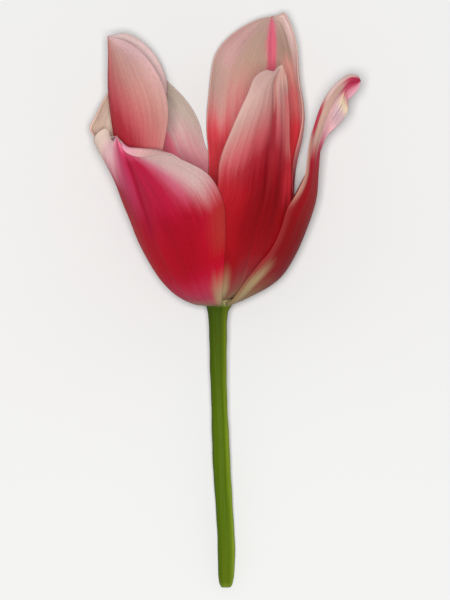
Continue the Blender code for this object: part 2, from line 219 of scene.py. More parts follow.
# The skins of the pistil and the stamens: colour at the foot and at the top, grain, roughness, and the
# relief's depth in metres.
GRAINY_SKINS = {
    "ovary_green": ((150, 162, 84), (176, 184, 112), (6.0, 3.0, 1.2), 0.5, 0.0001),
    "stigma_cream": ((208, 200, 130), (232, 222, 160), (30.0, 3.0, 3.0), 0.7, 0.0002),
    "filament_pale": ((206, 196, 120), (232, 224, 176), (6.0, 3.0, 2.0), 0.5, 0.0001),
    "anther_pollen": ((196, 146, 40), (214, 168, 60), (60.0, 3.0, 4.0), 0.85, 0.0002),
}
GRAINY_SHIFT = 0.4
GRAINY_PLAIN = 0.75
GRAINY_SHADE = 0.5
GRAINY_SHINE = 0.3

# The floor and the light, in metres and watts.
FLOOR_REACH = 4.0  # from the middle to each side
FLOOR_GREY = (198, 198, 197)
FLOOR_CLOUDS = (3.0, 9.0)  # their detail, and how many of them in a metre
FLOOR_PLAIN = 0.985
FLOOR_SHADE = 0.03
FLOOR_ROUGHNESS = 0.9
FLOOR_SHINE = 0.1
WORLD_LIGHT = 0.35
KEY_SPOT = (-0.03, -0.58, 2.65)
KEY_SIZE = 0.4
KEY_POWER = 92.0

# The camera looks down square to the flower.
VIEW_DISTANCE = 4.0
VIEW_END = 20.0
FRAME_HEIGHT = 0.168  # of the flower's plane, from the picture's top to its bottom
SENSOR = 36.0
VIEW_CENTRE = (1.54, 1.4)  # the flower's (x, h) at the middle of the picture


class Petal:
    """A petal, as three rails that run from its foot to its tip: its rib and its two margins.

    left and right are as seen from outside the flower. Below the parting of the petals the rails follow
    the cup, at the angles in spread. Above it they pass through the listed points (x, h, f), and end at
    the tip. keel says how sharply the petal is folded along its rib. A lip is a margin that is folded
    outwards: its side, the shares of the way to the tip where it starts, is full, narrows and ends, and
    its length. waves scales the waves of the left and the right margin. foot is how far each margin's
    foot is turned.
    """

    def __init__(
        self, name, outer, heading, spread, tip, rib, left, right,
        keel=0.15, lips=(), waves=(1, 1), foot=(0, 0),
    ):
        self.name = name
        self.outer = outer
        self.heading = heading
        self.keel = keel
        self.lips = lips
        self.waves = waves
        turns = (foot[0], 0, foot[1])
        self.rails = [
            cup_rail(outer, heading, angle, turn) + points + [tip]
            for angle, turn, points in zip((spread[0], heading, spread[1]), turns, (left, rib, right))
        ]


def cup_point(outer, share, angle):
    """A point of the cup (x, h, f) at this share of its height, on the outer or the inner petals."""
    lift = 0 if outer else WHORL_LIFT
    radius = CUP_RADIUS if outer else CUP_RADIUS - WHORL_GAP
    out = radius * share**CUP_POWER
    turn = math.radians(angle)
    return (out * math.sin(turn), lift + (CUP_HEIGHT - lift) * share, out * math.cos(turn))


def cup_rail(outer, heading, angle, turn):
    """The points of a rail in the cup, from its foot by the receptacle up towards the parting.

    The rail's foot is turned round the stem by this much more.
    """
    foot_radius = OUTER_FOOT_RADIUS if outer else INNER_FOOT_RADIUS
    cup_radius = CUP_RADIUS if outer else CUP_RADIUS - WHORL_GAP
    foot_angle = heading + max(-FOOT_HALF_SPREAD, min(FOOT_HALF_SPREAD, angle - heading))
    foot_share = (foot_radius / cup_radius) ** (1 / CUP_POWER)
    turned = [angle + turn * max(0, 1 - share / FOOT_TURN_END) for share in CUP_SHARES]
    rail = [cup_point(outer, share, angle) for share, angle in zip(CUP_SHARES, turned)]
    return [cup_point(outer, foot_share, foot_angle + turn)] + rail


def along_rail(points, shares):
    """Points of the smooth curve through these points, at the given shares of its length."""
    points = np.array(points, float)
    steps = np.linalg.norm(np.diff(points, axis=0), axis=1)
    knots = np.concatenate([[0.0], np.cumsum(steps)]) / steps.sum()
    slopes = np.gradient(points, knots, axis=0)
    before = np.clip(np.searchsorted(knots, shares, side="right") - 1, 0, len(knots) - 2)
    span = (knots[before + 1] - knots[before])[:, None]
    t = ((shares - knots[before])[:, None]) / span
    return (
        (1 + 2 * t) * (1 - t) ** 2 * points[before]
        + t * (1 - t) ** 2 * span * slopes[before]
        + t**2 * (3 - 2 * t) * points[before + 1]
        + t**2 * (t - 1) * span * slopes[before + 1]
    )


def polar(points, heading):
    """Distance from the axis, angle round it, near the heading, and height of points (x, h, f)."""
    angles = np.degrees(np.arctan2(points[:, 0], points[:, 2]))
    angles = heading + (angles - heading + 180) % 360 - 180
    return np.stack([np.hypot(points[:, 0], points[:, 2]), angles, points[:, 1]], axis=1)


def between_rails(rails, across, keel):
    """Points (x, h, f) of a petal, one row for each point of its rails. across runs from -1, left, to 1."""
    left, rib, right = (rail[:, None] for rail in rails)
    margin = np.where(across[..., None] < 0, left, right)
    out = np.abs(across)
    bend = keel * out + (1 - keel) * out**2
    reach = rib + (margin - rib) * np.stack([bend, out, bend], axis=-1)
    turn = np.radians(reach[..., 1])
    return np.stack([reach[..., 0] * np.sin(turn), reach[..., 2], reach[..., 0] * np.cos(turn)], axis=-1)


def petal_grid(petal):
    """The petal's middle layer as a grid of points (x, h, f), and their places across and along it."""
    shares = np.linspace(0, 1, ROWS + 1)
    rails = [polar(along_rail(rail, shares), petal.heading) for rail in petal.rails]
    across = np.repeat(np.linspace(-1, 1, COLUMNS + 1)[None], ROWS + 1, axis=0)
    along = np.repeat(shares[:, None], COLUMNS + 1, axis=1)
    flat = between_rails(rails, across, petal.keel)
    waves = outward(flat) * ripple(petal, across, along)[..., None]
    lip = np.zeros_like(flat)
    for side, *span, length in petal.lips:
        across, lip = turn_out(flat, across, side, window(shares, *span), length)
    grid = between_rails(rails, across, petal.keel) + waves + lip
    grid[..., 1] += cup_lift(grid)
    grid += outward(grid) * fine_relief(petal, across, along)[..., None]
    return grid, across, along


def cup_lift(points):
    """How much higher the bottom of the cup lies on its right side."""
    x = np.clip(points[..., 0], 0, LIFT_WIDTH)
    hump = (1 - np.cos(2 * math.pi * x / LIFT_WIDTH)) / 2
    return RIGHT_LIFT * hump * smooth_step(LIFT_END, LIFT_FULL, points[..., 1])


def smooth_step(low, high, value):
    """0 at low, 1 at high, and a smooth passage between them."""
    t = np.clip((value - low) / (high - low), 0, 1)
    return t * t * (3 - 2 * t)


def window(value, start, full, fade, end):
    """A smooth rise from 0 at start to 1 at full, and a smooth fall from fade to end."""
    return smooth_step(start, full, value) * smooth_step(end, fade, value)


def unit(vectors):
    """The vectors, each scaled to a length of 1."""
    return vectors / np.maximum(np.linalg.norm(vectors, axis=-1, keepdims=True), TINY)


def outward(grid):
    """The direction square to the petal at each point of its grid, away from the flower's middle."""
    return unit(np.cross(np.gradient(grid, axis=1), np.gradient(grid, axis=0)))


def ripple(petal, across, along):
    """How far the waves push each point of the grid outwards."""
    phase = math.radians(petal.heading * 3) + np.where(across < 0, *WAVE_PHASES)
    height = WAVE * np.where(across < 0, *petal.waves)
    edge = smooth_step(*WAVE_REACH, np.abs(across)) * window(along, *WAVE_SPAN)
    return height * edge * np.sin(2 * math.pi * WAVES * along + phase)


def fine_relief(petal, across, along):
    """How far the furrow along the rib, the creases and the flutes push each point outwards."""
    relief = -GROOVE_DEPTH * np.exp(-((across / GROOVE_WIDTH) ** 2)) * window(along, *GROOVE_SPAN)
    if petal.outer:
        relief -= HUG * smooth_step(*HUG_REACH, np.abs(across)) * window(along, *HUG_SPAN)
    for centre, left, right, sharpness, height, span in RELIEF.get(petal.name, []):
        away = across - centre
        shape = np.exp(-((np.abs(away) / np.where(away < 0, left, right)) ** sharpness))
        relief += height * shape * window(along, *span)
    seed = petal.heading * FLUTE_SEED
    sway = FLUTE_SWAY * np.sin(along * FLUTE_SWAYS + seed)
    flutes = np.sin(across * FLUTES + seed + sway)
    flutes += FINE_FLUTE_SHARE * np.sin(across * FINE_FLUTES - seed * 2)
    return relief + FLUTE_DEPTH * flutes * window(along, *FLUTE_SPAN)


def turn_out(grid, across, side, share, length):
    """Folds a lip of this length outwards at a margin.

    side is -1 or 1, and share says how much of the lip each row has. It returns where across the petal
    each point then lies, and how far the lip takes it from there.
    """
    edge, beside = (0, 1) if side < 0 else (-1, -2)
    middle = grid.shape[1] // 2
    width = np.maximum(np.linalg.norm(grid[:, edge] - grid[:, middle], axis=1), TINY)[:, None]
    forward = unit(grid[:, edge] - grid[:, beside])[:, None]
    aside = outward(grid)[:, edge][:, None]
    out = np.clip(across * side, 0, 1)
    fold = width * (LIP_START + (1 - LIP_START) * share[:, None])
    rest = (width + length * share[:, None] - fold) / (1 - LIP_START)
    reach = np.where(out < LIP_START, fold * out / LIP_START, fold + rest * (out - LIP_START))
    beyond = np.maximum(reach - width, 0)
    curl = np.minimum(beyond / LIP_RADIUS, LIP_TURN)
    straight = np.maximum(beyond - LIP_RADIUS * LIP_TURN, 0)
    ahead = LIP_RADIUS * np.sin(curl) + straight * math.cos(LIP_TURN)
    off = LIP_RADIUS * (1 - np.cos(curl)) + straight * math.sin(LIP_TURN)
    moved = np.where(across * side > 0, side * np.minimum(reach / width, 1), across)
    return moved, forward * ahead[..., None] + aside * off[..., None]


def turn_down(points):
    """Points (x, h, f) of the flower as it lies, in metres."""
    points = np.asarray(points, float)
    lean = math.radians(LEAN)
    h, f = points[..., 1], points[..., 2]
    x = points[..., 0] - MIDDLE_ACROSS
    y = h * math.cos(lean) - f * math.sin(lean) - MIDDLE_ALONG
    z = h * math.sin(lean) + f * math.cos(lean) + FOOT_RISE
    return np.stack([x, y, z], axis=-1) * MM


def press_flat(points, floor):
    """The points, pressed flat where they would come nearer to the surface than floor says."""
    points = points.copy()
    soft = PRESS * MM
    over = np.clip(points[..., 2] - floor + soft, 0, 2 * soft)
    pressed = floor + over**2 / (4 * soft)
    points[..., 2] = np.where(points[..., 2] > floor + soft, points[..., 2], pressed)
    return points


PETALS = [
    Petal(
        "petal_front_left", True, -53, (-104, 4), tip=(-28.8, 47.2, 14.4),
        rib=[(-21.9, 29.7, 16.4), (-24.3, 37.0, 18.0), (-26.8, 42.5, 17.3)],
        left=[
            (-28.3, 33.9, -4.0), (-32.6, 41.0, -2.5), (-34.6, 46.5, 0.5), (-32.2, 49.4, 6.0),
            (-30.4, 47.0, 11.0),
        ],
        right=[
            (0.9, 29.5, 27.0), (-3.1, 36.2, 28.0), (-8.1, 39.2, 28.3), (-16.0, 42.5, 27.0),
            (-22.0, 43.2, 24.0), (-25.4, 43.8, 20.6), (-27.2, 45.4, 17.6),
        ],
        lips=[(1, 0.68, 0.83, 0.84, 0.985, 4.4)],
    ),
    Petal(
        "petal_front", False, 27, (-14, 57), tip=(17.4, 67.0, 14.6),
        rib=[(12.7, 30.6, 22.6), (14.3, 43.6, 22.3), (15.4, 56.0, 19.0), (15.7, 63.0, 16.6)],
        left=[
            (-0.6, 33.0, 25.5), (-0.1, 39.2, 25.8), (3.4, 48.9, 25.3), (7.8, 58.7, 22.5),
            (10.0, 63.7, 20.2), (13.5, 65.5, 17.8), (15.0, 65.1, 16.8), (16.2, 66.4, 15.6),
        ],
        right=[(20.0, 34.0, 15.0), (19.6, 45.0, 13.5), (19.2, 56.0, 12.5), (18.7, 63.5, 12.9)],
        keel=0.5, waves=(0.5, 0.2),
    ),
    Petal(
        "petal_right", True, 88, (47, 134), tip=(39.5, 62.8, 0.8),
        rib=[
            (26.8, 29.4, 1.0), (27.5, 38.4, 2.0), (28.0, 45.0, 3.5), (29.6, 50.7, 5.5), (31.0, 54.6, 6.5),
            (32.9, 58.5, 6.3), (35.6, 61.8, 4.3),
        ],
        left=[
            (19.0, 26.3, 17.9), (21.8, 31.6, 16.3), (24.0, 36.8, 14.0), (24.8, 41.5, 12.5),
            (25.6, 45.6, 11.4), (26.7, 49.6, 10.4), (27.8, 53.2, 9.8), (29.2, 56.6, 9.3), (31.3, 60.0, 8.4),
            (34.2, 63.0, 6.5), (37.0, 64.6, 4.0), (38.8, 64.2, 2.2),
        ],
        right=[
            (21.0, 31.0, -16.0), (26.0, 39.0, -9.0), (28.6, 45.0, -3.5), (30.6, 47.8, -0.5),
            (33.5, 50.5, 2.0), (35.8, 54.4, 3.2), (35.8, 57.2, 2.8), (37.6, 59.0, 1.7), (39.0, 60.9, 1.0),
        ],
        waves=(0.3, 1), foot=(-20, 0),
    ),
    Petal(
        "petal_back_right", False, 146, (103, 190), tip=(14.7, 81.2, -19.7),
        rib=[(14.0, 36.0, -23.9), (14.6, 46.0, -29.0), (14.7, 60.0, -29.5), (14.7, 75.0, -24.0)],
        left=[
            (20.2, 33.6, -6.0), (22.5, 47.0, -9.5), (22.8, 61.0, -12.5), (20.9, 74.0, -14.7),
            (19.3, 80.4, -16.5), (18.2, 82.3, -17.6), (16.5, 81.6, -18.7),
        ],
        right=[
            (-3.2, 34.0, -23.1), (-3.3, 50.0, -25.7), (-2.6, 65.0, -25.8), (-1.0, 70.4, -25.1),
            (1.9, 74.6, -24.1), (6.1, 78.2, -22.6), (10.6, 80.3, -21.1),
        ],
    ),
    Petal(
        "petal_left", False, -94, (-138, -52), tip=(-31.3, 75.4, -6.0),
        rib=[(-27.2, 34.0, -2.0), (-29.4, 46.2, -2.5), (-31.2, 60.0, -3.2), (-31.2, 71.0, -4.6)],
        left=[
            (-17.0, 30.0, -18.5), (-15.5, 50.0, -21.5), (-15.2, 64.0, -19.3), (-19.4, 72.0, -16.5),
            (-25.9, 76.2, -11.5),
        ],
        right=[
            (-18.8, 32.0, 15.0), (-16.4, 40.9, 14.0), (-14.3, 54.2, 10.5), (-15.7, 61.3, 8.0),
            (-19.2, 67.7, 5.0), (-23.9, 72.6, 0.5), (-27.7, 74.5, -3.5),
        ],
    ),
    Petal(
        "petal_back_left", True, 199, (153, 246), tip=(-23.3, 70.6, -25.0),
        rib=[(-10.5, 32.0, -26.0), (-15.5, 44.0, -29.0), (-20.5, 58.0, -28.5)],
        left=[
            (5.5, 32.0, -27.0), (-3.6, 44.3, -28.2), (-5.6, 50.6, -28.0), (-9.6, 57.5, -28.0),
            (-16.5, 65.0, -27.0),
        ],
        right=[
            (-29.3, 36.0, -7.5), (-33.2, 43.5, -5.0), (-34.9, 46.8, -5.0), (-36.3, 49.0, -5.2),
            (-34.4, 52.8, -7.0), (-31.2, 60.6, -13.0), (-26.8, 67.8, -20.5),
        ],
    ),
]

# Creases and crests of single petals: their place across, their width to the left and right, how rounded
# they are, their height, and where along the petal they start, are full, fade and end.
RELIEF = {
    "petal_front": [
        (0.06, 0.3, 0.1, 1.4, -0.9, (0.42, 0.62, 0.93, 1.0)),
        (0.3, 0.16, 0.3, 1.6, 0.25, (0.5, 0.7, 0.9, 1.0)),
    ],
    "petal_right": [
        (-0.52, 0.3, 0.3, 1.0, 0.8, (0.6, 0.72, 0.9, 1.0)),
        (-1.0, 0.3, 0.3, 2.0, -0.7, (0.6, 0.72, 0.88, 0.97)),
        (0.55, 0.25, 0.25, 1.5, 0.5, (0.8, 0.85, 0.88, 0.93)),
    ],
    "petal_front_left": [
        (0.06, 0.12, 0.14, 1.6, -0.35, (0.4, 0.6, 0.9, 0.97)),
    ],
}


def thickness(across, along):
    """How thick a petal is, from its fleshy foot to its thin margins."""
    body = FOOT_THICKNESS + (BODY_THICKNESS - FOOT_THICKNESS) * smooth_step(*FOOT_PASSAGE, along)
    thin = np.maximum(smooth_step(*MARGIN_PASSAGE, np.abs(across)), smooth_step(*TIP_PASSAGE, along))
    return body + (EDGE_THICKNESS - body) * thin * smooth_step(*MARGIN_START, along)


def sheet_faces(numbers):
    """The triangles of a sheet, from the grid of its points' numbers."""
    a, b, c, d = numbers[:-1, :-1], numbers[:-1, 1:], numbers[1:, 1:], numbers[1:, :-1]
    return np.stack([a, b, c, a, c, d], axis=-1).reshape(-1, 3).tolist()


def rim_faces(numbers, apart):
    """The faces from the outer sheet's border to the inner one's, whose numbers are higher by apart."""
    border = numbers[0], numbers[1:, -1], numbers[-1, -2::-1], numbers[-2:0:-1, 0]
    loop = np.concatenate(border).tolist()
    return [(b, a, a + apart, b + apart) for a, b in zip(loop, loop[1:] + loop[:1])]


def make_petal(petal, outside, inside):
    """A petal with an outer and an inner skin, which keeps the places that its materials read."""
    grid, across, along = petal_grid(petal)
    half = thickness(across, along) / 2 * MM
    middle = press_flat(turn_down(grid), half)
    square = outward(middle)
    square[-1] = square[-2]
    shift = square * half[..., None]
    points = np.concatenate([middle + shift, middle - shift]).reshape(-1, 3)
    numbers = np.arange(across.size).reshape(across.shape)
    outer = sheet_faces(numbers)
    inner = [face[::-1] for face in sheet_faces(numbers + across.size)]
    mesh = bpy.data.meshes.new(petal.name)
    mesh.from_pydata(points, [], outer + inner + rim_faces(numbers, across.size))
    mesh.materials.append(outside)
    mesh.materials.append(inside)
    skins = np.zeros(len(mesh.polygons), np.int32)
    skins[len(outer) : len(outer) + len(inner)] = 1
    mesh.polygons.foreach_set("material_index", skins)
    store(mesh, across=np.tile(across.ravel(), 2), along=np.tile(along.ravel(), 2))
    place(petal.name + "_fine", joined(mesh), petal.name)


def store(mesh, **values):
    """Keeps numbers for each point of the mesh, for its materials to read."""
    for name, numbers in values.items():
        attribute = mesh.attributes.new(name, "FLOAT", "POINT")
        attribute.data.foreach_set("value", numbers.astype(np.float32))


def joined(mesh):
    """The mesh, smooth-shaded, with the points that lie on each other made one."""
    bm = bmesh.new()
    bm.from_mesh(mesh)
    bmesh.ops.remove_doubles(bm, verts=bm.verts, dist=WELD)
    bm.to_mesh(mesh)
    bm.free()
    mesh.shade_smooth()
    return mesh


def place(name, data, node):
    """Adds a piece that stands for this node of the frame."""
    obj = bpy.data.objects.new(name, data)
    bpy.context.scene.collection.objects.link(obj)
    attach(obj, "root")
    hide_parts(node)


def ring_faces(rings, sides):
    """The faces of a closed pile of rings. After the rings come the middle points of its two ends."""
    first, last = rings * sides, rings * sides + 1
    top = (rings - 1) * sides
    faces = []
    for side in range(sides):
        nearby = (side + 1) % sides
        faces.append((first, nearby, side))
        faces.append((last, top + side, top + nearby))
        for ring in range(0, top, sides):
            faces.append((ring + side, ring + nearby, ring + sides + nearby, ring + sides + side))
    return faces


def make_turned(name, points, fineness, shape, material):
    """A closed piece of rings round the curve through points (x, h, f, radius).

    fineness is how many rings and sides it has. shape takes the angle round the curve, the share along it
    and the ring's radius, and returns the distance from the curve and the rise.
    """
    rings, sides = fineness
    shares = np.linspace(0, 1, rings)
    spine = along_rail(points, shares)
    radius = np.maximum(spine[:, 3:4], 0)
    angles = np.linspace(-math.pi, math.pi, sides, endpoint=False)
    share, angle = np.meshgrid(shares, angles, indexing="ij")
    out, rise = shape(angle, share, radius)
    aside, towards = out * np.sin(angle), out * np.cos(angle)
    x, h, f = spine[:, 0:1] + aside, spine[:, 1:2] + rise, spine[:, 2:3] + towards
    grid = turn_down(np.stack([x, h, f], axis=-1))
    ends = grid[[0, -1]].mean(axis=1)
    mesh = bpy.data.meshes.new(name)
    mesh.from_pydata(np.concatenate([grid.reshape(-1, 3), ends]), [], ring_faces(rings, sides))
    mesh.materials.append(material)
    store(
        mesh,
        along=np.append(share.ravel(), (0, 1)),
        aside=np.append(aside.ravel(), (0, 0)),
        towards=np.append(towards.ravel(), (0, 0)),
    )
    place(name + "_fine", joined(mesh), name)


def make_stem(material):
    """The stem, with fine ridges and soft swellings along it, rounded at its cut end."""

    def ridged(angle, share, radius):
        ridges = RIDGE_HEIGHT * np.sin(angle * RIDGES + RIDGE_SWAY * np.sin(share * RIDGE_SWAYS))
        ridges += FINE_RIDGE_HEIGHT * np.sin(angle * FINE_RIDGES + share * FINE_RIDGE_TWIST)
        swell = sum(height * np.sin(share * along + angle * rounds) for height, along, rounds in SWELLINGS)
        return radius * (1 + ridges + swell), 0 * angle

    points = [(*centre, radius) for centre, radius in STEM_POINTS]
    make_turned("stem", points, STEM_MESH, ridged, material)


def make_pistil(green, cream):
    """The ovary, and on it the stigma with its ruffled lobes."""
    turn = math.radians(OVARY_TURN)

    def three_sided(angle, share, radius):
        from_seam = (((angle - turn) * LOBES / math.pi) % 2 - 1) / SEAM_WIDTH
        seam = SEAM_DEPTH * np.exp(-(from_seam**2))
        return radius * (1 + OVARY_CORNERS * np.cos(LOBES * (angle - turn)) - seam), 0 * angle

    def ruffled(angle, share, radius):
        rim = np.exp(-(((share - RIM_PLACE) / RIM_WIDTH) ** 2))
        lobes = np.cos(LOBES * (angle - turn))
        ruffle = RUFFLE_REACH * np.sin(angle * RUFFLES + RUFFLE_SWAY * np.sin(angle * LOBES)) * rim
        rise = rim * (RIM_WAVE * np.sin(angle * RIM_WAVES + 1.0) - RIM_DROOP * lobes)
        return radius * (1 + STIGMA_LOBES * lobes + ruffle), rise

    ovary = [(0, h, 0, radius) for h, radius in OVARY_PROFILE]
    stigma = [(0, h, 0, radius) for h, radius in STIGMA_PROFILE]
    make_turned("ovary", ovary, OVARY_MESH, three_sided, green)
    make_turned("stigma", stigma, STIGMA_MESH, ruffled, cream)


def make_stamen(number, pale, pollen):
    """A tapered filament and its anther, which is furrowed on both sides and rough with pollen."""
    turn = math.radians(OVARY_TURN + number * 360 / STAMENS)
    aside, towards = math.sin(turn), math.cos(turn)

    def ridged(angle, share, radius):
        return radius * (1 + FILAMENT_RIDGE * np.sin(angle * FILAMENT_RIDGES)), 0 * angle

    def furrowed(angle, share, radius):
        across = angle - turn - math.pi / 2
        cheeks = ANTHER_CHEEKS * np.cos(2 * across)
        furrow = FURROW_DEPTH * np.exp(-((np.cos(across) / FURROW_WIDTH) ** 2))
        first, second = (angle * rounds + share * along for rounds, along in POLLEN_WAVES)
        grains = POLLEN_HEIGHT * np.sin(first) * np.sin(second + number)
        return radius * (1 + cheeks - furrow + grains), 0 * angle

    filament = [(out * aside, h, out * towards, radius) for out, h, radius in FILAMENT_POINTS]
    anther = [(out * aside, h, out * towards, radius) for out, h, radius in ANTHER_PROFILE]
    make_turned(f"filament_{number + 1}", filament, FILAMENT_MESH, ridged, pale)
    make_turned(f"anther_{number + 1}", anther, ANTHER_MESH, furrowed, pollen)


class Tree:
    """Short ways to build a material's nodes. A value is a number or another node's socket."""

    def __init__(self, name):
        self.material = bpy.data.materials.new(name)
        self.material.use_nodes = True
        self.nodes = self.material.node_tree.nodes
        self.links = self.material.node_tree.links
        self.shader = self.nodes["Principled BSDF"]
        self.output = self.nodes["Material Output"]

    def node(self, kind, inputs=None, **settings):
        """A node of this kind, with its settings, and with its inputs set or linked."""
        node = self.nodes.new(kind)
        for key, value in settings.items():
            setattr(node, key, value)
        for key, value in (inputs or {}).items():
            self.feed(node.inputs[key], value)
        return node

    def feed(self, socket, value):
        """Sets a socket to a value, or links it to another socket."""
        if isinstance(value, bpy.types.NodeSocket):
            self.links.new(value, socket)
        else:
            socket.default_value = value

    def set(self, **values):
        """Sets the shader's own sockets, named with _ for a blank."""
        for name, value in values.items():
            self.feed(self.shader.inputs[name.replace("_", " ")], value)

    def math(self, operation, a, b):
        """What a mathematical operation makes of two values."""
        return self.node("ShaderNodeMath", {0: a, 1: b}, operation=operation).outputs[0]

    def times(self, a, b):
        """The product of two values."""
        return self.math("MULTIPLY", a, b)

    def total(self, value, *parts):
        """The value, with each part's value times its amount added to it."""
        for part, amount in parts:
            value = self.math("ADD", value, self.times(part, amount))
        return value

    def shifted(self, value, noise, amount):
        """The value, moved to and fro by the noise, by half this amount at most."""
        return self.total(value, (self.math("ADD", noise, -0.5), amount))

    def attribute(self, name):
        """What the mesh stores under this name for each point."""
        return self.node("ShaderNodeAttribute", attribute_name=name).outputs["Fac"]

    def step(self, value, low, high):
        """A smooth passage of the value from 0 at low to 1 at high."""
        inputs = {"Value": value, "From Min": low, "From Max": high}
        return self.node("ShaderNodeMapRange", inputs, interpolation_type="SMOOTHSTEP").outputs["Result"]

    def window(self, value, start, full, fade, end):
        """A smooth rise from start to full, and a smooth fall from fade to end."""
        return self.times(self.step(value, start, full), self.step(value, end, fade))

    def noise(self, vector, detail=2.0, scale=1.0):
        """Soft noise between 0 and 1 at this place."""
        inputs = {"Vector": vector, "Scale": scale, "Detail": detail}
        return self.node("ShaderNodeTexNoise", inputs).outputs["Fac"]

    def grain(self, stretch, detail, scale):
        """Noise on a turned piece, with its length stretched by this much."""
        aside, towards = self.attribute("aside"), self.attribute("towards")
        along = self.times(self.attribute("along"), stretch)
        return self.noise(self.join(aside, towards, along), detail, scale)

    def ramp(self, value, stops):
        """A colour from a list of positions, each with the red, green and blue there."""
        node = self.node("ShaderNodeValToRGB", {"Fac": value})
        elements = node.color_ramp.elements
        while len(elements) < len(stops):
            elements.new(1.0)
        for element, (position, *colour) in zip(elements, stops):
            element.position = position
            element.color = linear(colour)
        return node.outputs["Color"]

    def mix(self, share, a, b):
        """Colour a where share is 0, and b where it is 1."""
        return self.node("ShaderNodeMix", {0: share, 6: a, 7: b}, data_type="RGBA").outputs[2]

    def brighten(self, colour, amount):
        """The colour, with its brightness multiplied by this."""
        return self.node("ShaderNodeHueSaturation", {"Color": colour, "Value": amount}).outputs["Color"]

    def join(self, x, y, z):
        """A vector of three values."""
        return self.node("ShaderNodeCombineXYZ", {"X": x, "Y": y, "Z": z}).outputs[0]

    def bump(self, height, depth):
        """Relief of this depth in metres."""
        bump = self.node("ShaderNodeBump", {"Height": height, "Distance": depth})
        self.set(Normal=bump.outputs["Normal"])


def linear(colour):
    """A colour given as it looks on a screen, 0 to 255, as the linear colour that the shader takes."""
    return (*(((c / 255 + 0.055) / 1.055) ** 2.4 if c > 10 else c / 255 / 12.92 for c in colour), 1.0)


def petal_material(name, seed, stops, pulls, dabs=()):
    """The skin of a petal.

    stops are its colours from foot to tip, with their share of the way. pulls bring the colours of the
    tip down along the left and the right margin. dabs lie over that: a colour, how strong it is, and
    where it starts, is full, fades and ends, first across the petal and then along it.
    """
    tree = Tree(name)
    across, along = tree.attribute("across"), tree.attribute("along")
    fine, broad, cloud, cells = (
        tree.noise(tree.join(tree.times(across, sideways), tree.times(along, lengthways), seed + more))
        for sideways, lengthways, more in (FINE, BROAD, CLOUD, CELLS)
    )
    streak = tree.total(-MIDDLE_STREAK, (fine, FINE_STREAK), (broad, BROAD_STREAK))
    moved_along = tree.math("ADD", along, streak)
    moved_across = tree.shifted(across, cloud, CLOUD_SHIFT)
    reach = moved_along
    for side, pull in zip((-1.0, 1.0), pulls):
        out = tree.math("MAXIMUM", tree.times(across, side), 0.0)
        reach = tree.total(reach, (tree.math("POWER", out, PULL_POWER), pull))
    colour = tree.ramp(tree.times(reach, REACH), [(REACH * share, *tint) for share, *tint in stops])
    for tint, strength, sideways, lengthways in dabs:
        there = tree.times(tree.window(moved_across, *sideways), tree.window(moved_along, *lengthways))
        colour = tree.mix(tree.times(there, strength), colour, linear(tint))
    shades = (fine, FINE_SHADE), (cells, CELL_SHADE), (broad, BROAD_SHADE), (cloud, CLOUD_SHADE)
    tree.set(Base_Color=tree.brighten(colour, tree.total(PLAIN, *shades)))
    tree.set(Roughness=SKIN_ROUGHNESS, Specular_IOR_Level=SKIN_SHINE)
    tree.bump(tree.total(fine, (cells, CELL_RELIEF)), SKIN_DEPTH)
    glow = tree.node("ShaderNodeBsdfTranslucent", {"Color": colour}).outputs[0]
    both = tree.node("ShaderNodeMixShader", {0: GLOW, 1: tree.shader.outputs[0], 2: glow}).outputs[0]
    tree.links.new(both, tree.output.inputs["Surface"])
    return tree.material


